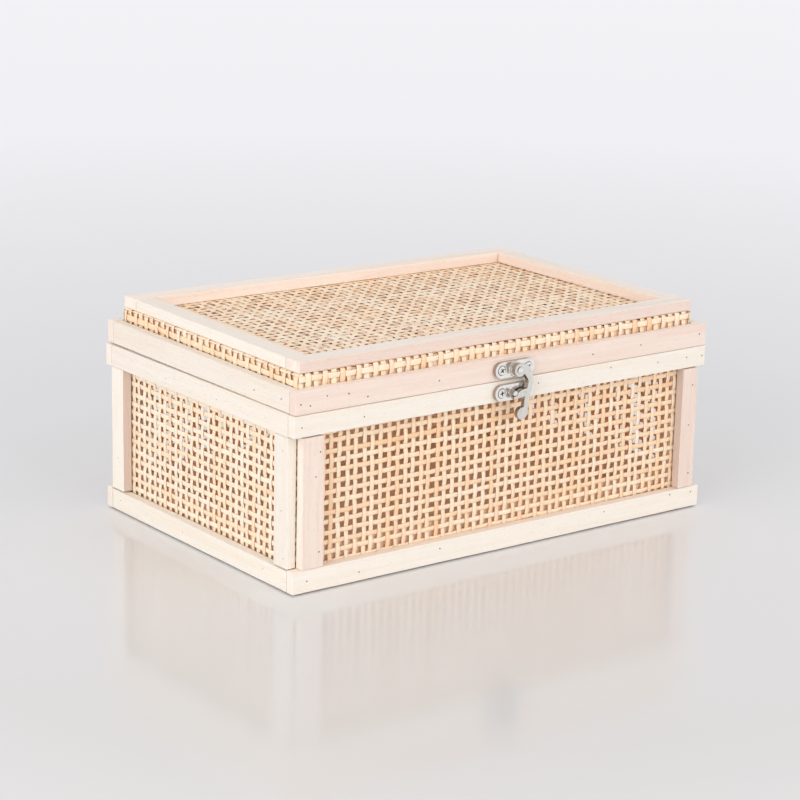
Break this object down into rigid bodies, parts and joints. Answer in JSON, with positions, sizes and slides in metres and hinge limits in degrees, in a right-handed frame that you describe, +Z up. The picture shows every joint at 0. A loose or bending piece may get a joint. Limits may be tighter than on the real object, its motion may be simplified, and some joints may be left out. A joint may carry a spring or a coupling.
{
  "type": "woven lidded box",
  "caption": "Keepsake box with a wooden strip frame, woven cane panels, a hinged cane-topped lid and a swing-arm latch at the front.",
  "frame": {"origin": "middle of the underside, on the surface that the box stands on", "axes": "+X along the length, to the right seen from the front; +Y from the latch side to the hinge side; +Z up"},
  "size_m": [0.28, 0.1936, 0.1191],
  "materials": {
    "pale_wood": "sanded, unvarnished, cream with faint grain",
    "rosy_wood": "sanded, unvarnished, pinkish with faint grain",
    "inner_wood": "sanded, unvarnished",
    "cane": "woven natural cane, satin",
    "nickel": "bright nickel plate"
  },
  "bodies": {
    "box": {"bottom_board": "inner_wood", "base_rail_front": "pale_wood", "base_rail_rear": "pale_wood", "base_rail_left": "pale_wood", "base_rail_right": "pale_wood", "rim_rail_front": "pale_wood", "rim_rail_rear": "pale_wood", "rim_rail_left": "pale_wood", "rim_rail_right": "pale_wood", "front_stile_left": "rosy_wood", "front_stile_right": "rosy_wood", "rear_stile_left": "pale_wood", "rear_stile_right": "pale_wood", "left_stile_front": "pale_wood", "left_stile_rear": "pale_wood", "right_stile_front": "pale_wood", "right_stile_rear": "pale_wood", "cane_front": "cane", "cane_rear": "cane", "cane_left": "cane", "cane_right": "cane", "corner_post_front_left": "inner_wood", "corner_post_front_right": "inner_wood", "corner_post_rear_left": "inner_wood", "corner_post_rear_right": "inner_wood", "inner_base_strip_front": "inner_wood", "inner_base_strip_rear": "inner_wood", "inner_base_strip_left": "inner_wood", "inner_base_strip_right": "inner_wood", "inner_rim_strip_front": "inner_wood", "inner_rim_strip_rear": "inner_wood", "inner_rim_strip_left": "inner_wood", "inner_rim_strip_right": "inner_wood", "hinge_left_box_leaf": "nickel", "hinge_left_pin": "nickel", "hinge_right_box_leaf": "nickel", "hinge_right_pin": "nickel", "latch_keeper": "nickel", "keeper_screw_left": "nickel", "keeper_screw_right": "nickel"},
    "lid": {"lid_rail_front": "rosy_wood", "lid_rail_rear": "pale_wood", "lid_rail_left": "pale_wood", "lid_rail_right": "pale_wood", "lid_core_front": "inner_wood", "lid_core_rear": "inner_wood", "lid_core_left": "inner_wood", "lid_core_right": "inner_wood", "lid_cane": "cane", "top_strip_front": "rosy_wood", "top_strip_rear": "rosy_wood", "top_strip_left": "pale_wood", "top_strip_right": "pale_wood", "hinge_left_lid_leaf": "nickel", "hinge_right_lid_leaf": "nickel", "latch_plate": "nickel", "latch_screw_left": "nickel", "latch_screw_right": "nickel", "latch_rivet": "nickel"},
    "latch_arm": {"latch_arm": "nickel"}
  },
  "joints": [
    {"name": "lid_hinge", "type": "hinge", "parent": "box", "child": "lid", "pos_m": [0, 0.09317, 0.09365], "axis": [-1, 0, 0], "range_deg": [0, 190]},
    {"name": "latch_swing", "type": "hinge", "parent": "lid", "child": "latch_arm", "pos_m": [0, -0.0906, 0.0998], "axis": [0, -1, 0], "range_deg": [0, 270]}
  ]
}
